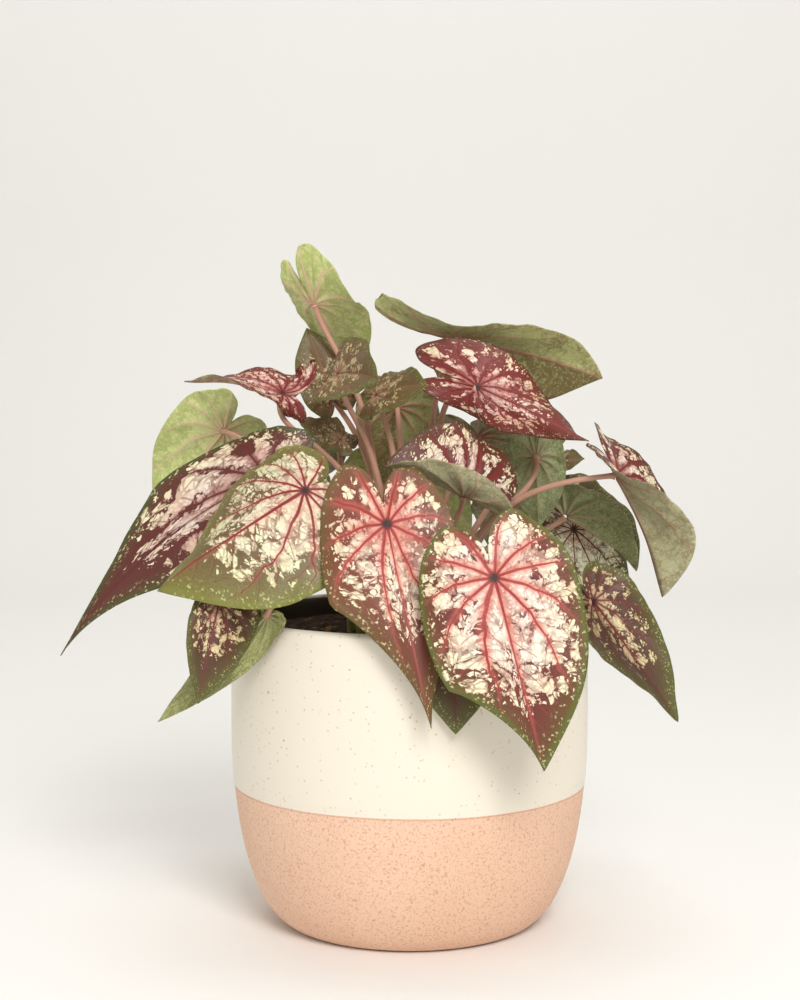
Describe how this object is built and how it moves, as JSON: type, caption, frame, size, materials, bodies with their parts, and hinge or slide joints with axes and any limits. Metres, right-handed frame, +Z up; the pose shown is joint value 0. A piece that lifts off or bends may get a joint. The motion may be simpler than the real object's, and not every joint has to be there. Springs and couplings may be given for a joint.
{
  "type": "caladium in a pot",
  "caption": "Potted caladium with heart-shaped red, cream and green veined leaves on thin petioles, in a round-shouldered jar of half-glazed stoneware.",
  "frame": {"origin": "centre of the pot's flat base, where it stands", "axes": "+Z up along the pot's axis, -Y towards the front of the plant, +X to the right as seen from the front"},
  "size_m": [0.3034, 0.2426, 0.3302],
  "materials": {
    "stoneware": "satin cream glaze with fine brown specks above, bare pinkish clay below",
    "potting_soil": "dark, loose and matte",
    "leaf": "thin satin blades, cream and pink between crimson veins, olive green at the margin"
  },
  "bodies": {
    "root": {"pot": "stoneware", "potting_soil": "potting_soil", "leaf_back_centre": "leaf", "leaf_back_left": "leaf", "leaf_back_left_high": "leaf", "leaf_back_left_low": "leaf", "leaf_back_right_high": "leaf", "leaf_back_right_low": "leaf", "leaf_back_top": "leaf", "leaf_centre_red": "leaf", "leaf_front_heart": "leaf", "leaf_front_low": "leaf", "leaf_left_back": "leaf", "leaf_left_curl": "leaf", "leaf_left_green": "leaf", "leaf_left_heart": "leaf", "leaf_left_low_dark": "leaf", "leaf_left_low_green": "leaf", "leaf_left_tail": "leaf", "leaf_middle_heart": "leaf", "leaf_red_crest": "leaf", "leaf_right_far": "leaf", "leaf_right_fold": "leaf", "leaf_right_green": "leaf", "leaf_right_low": "leaf", "leaf_right_tail": "leaf", "leaf_right_under": "leaf", "leaf_right_white": "leaf", "leaf_top_fold": "leaf", "leaf_top_green": "leaf", "leaf_top_long": "leaf", "leaf_top_saddle": "leaf"}
  },
  "joints": []
}
